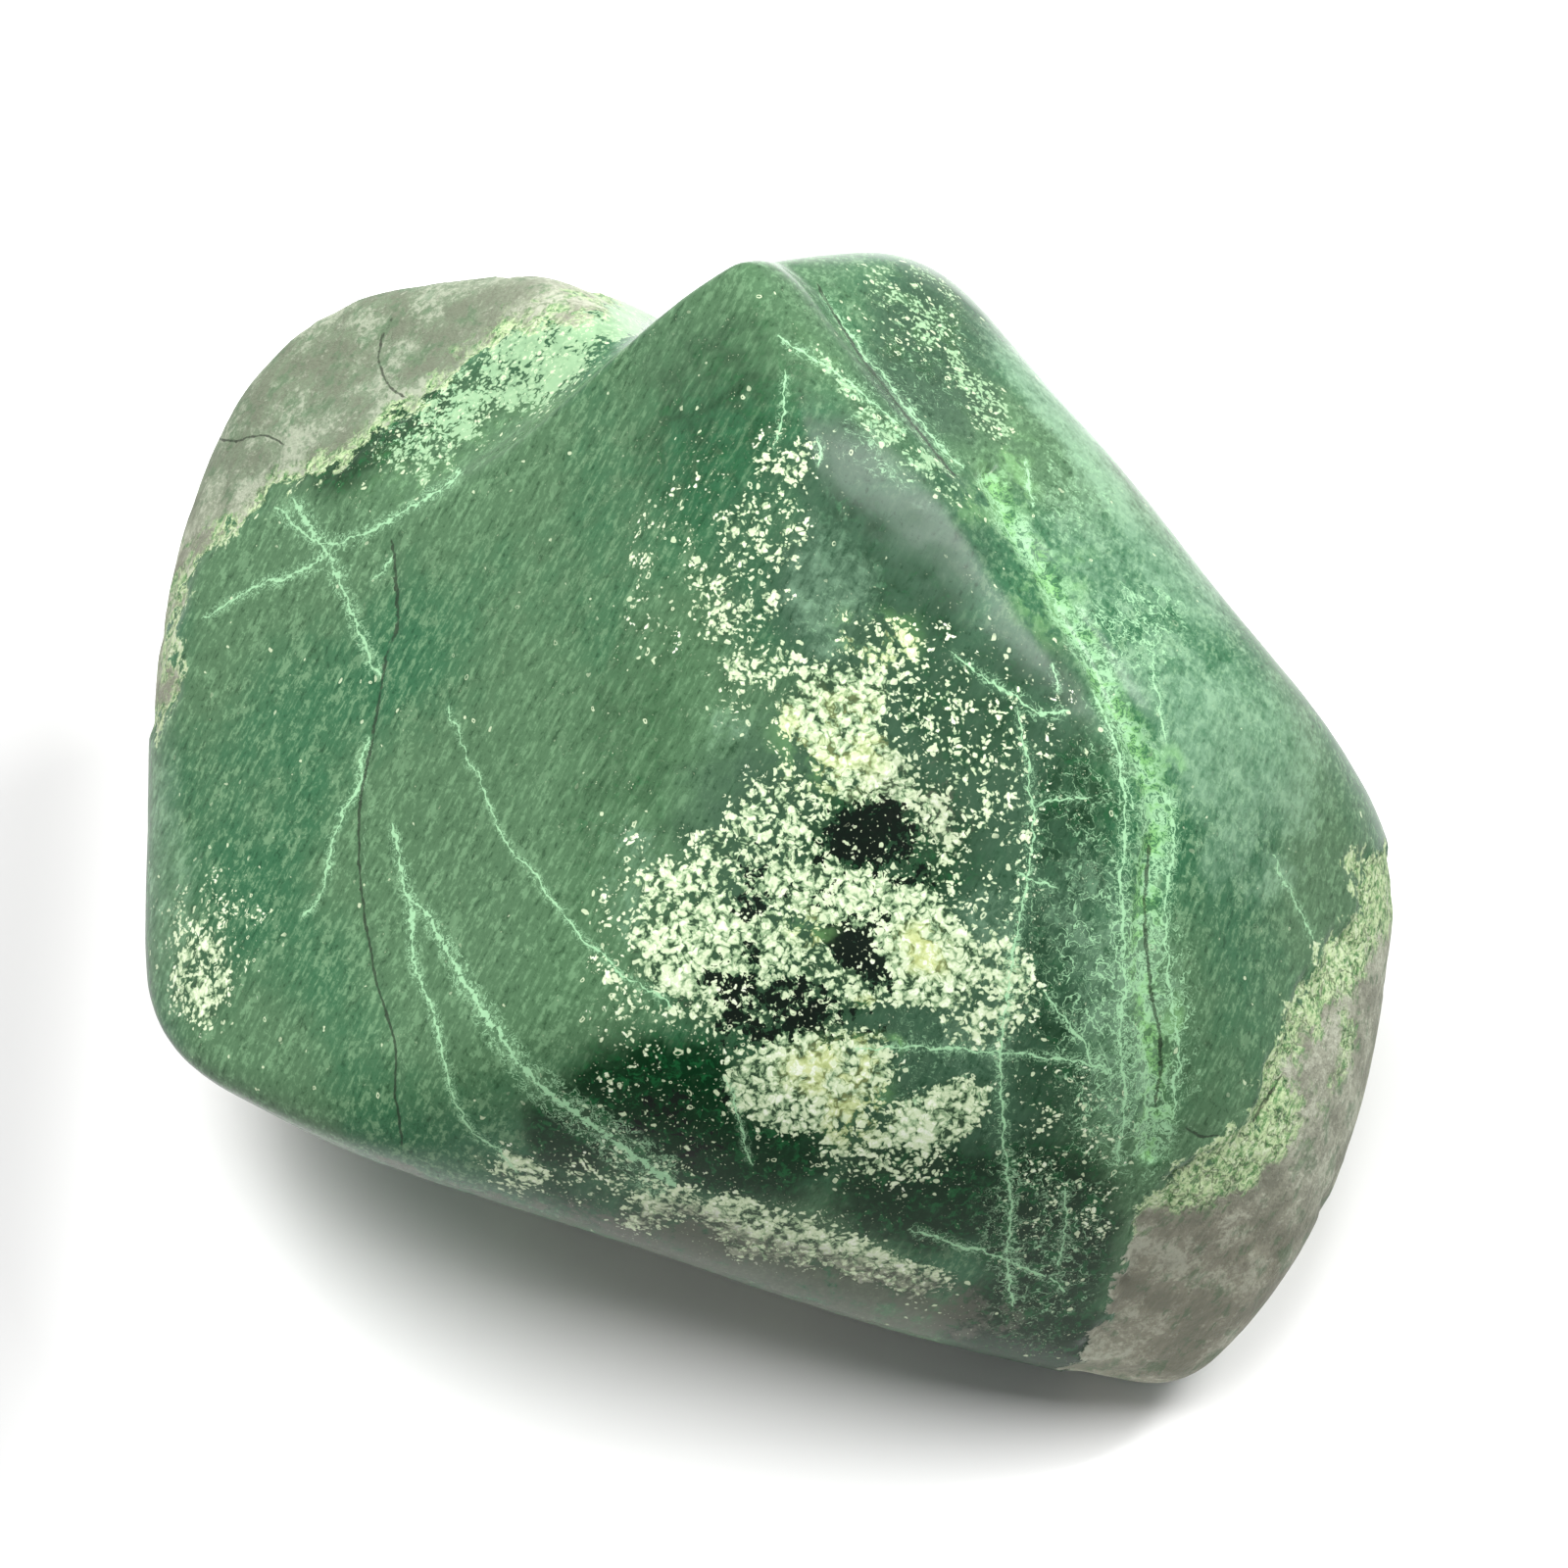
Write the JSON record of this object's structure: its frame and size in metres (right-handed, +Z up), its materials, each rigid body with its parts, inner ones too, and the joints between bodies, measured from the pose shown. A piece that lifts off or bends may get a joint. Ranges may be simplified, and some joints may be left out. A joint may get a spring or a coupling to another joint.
{
  "type": "raw jade boulder",
  "caption": "Loose boulder of green jade with a polished front, grey rind left on its edges, resting on a flat underside.",
  "frame": {"origin": "middle of the bounding box at the flat rest face under the stone", "axes": "+X towards the end with the grey rind and the cream band, along the stone's longest extent; -Y towards the polished, cream-speckled front; +Z up towards the apex"},
  "size_m": [0.1306, 0.1148, 0.0904],
  "materials": {
    "jade": "polished dark green nephrite with cream mottling, pale veins and patches of matt grey-brown rind"
  },
  "bodies": {
    "root": {"jade_boulder": "jade"}
  },
  "joints": []
}
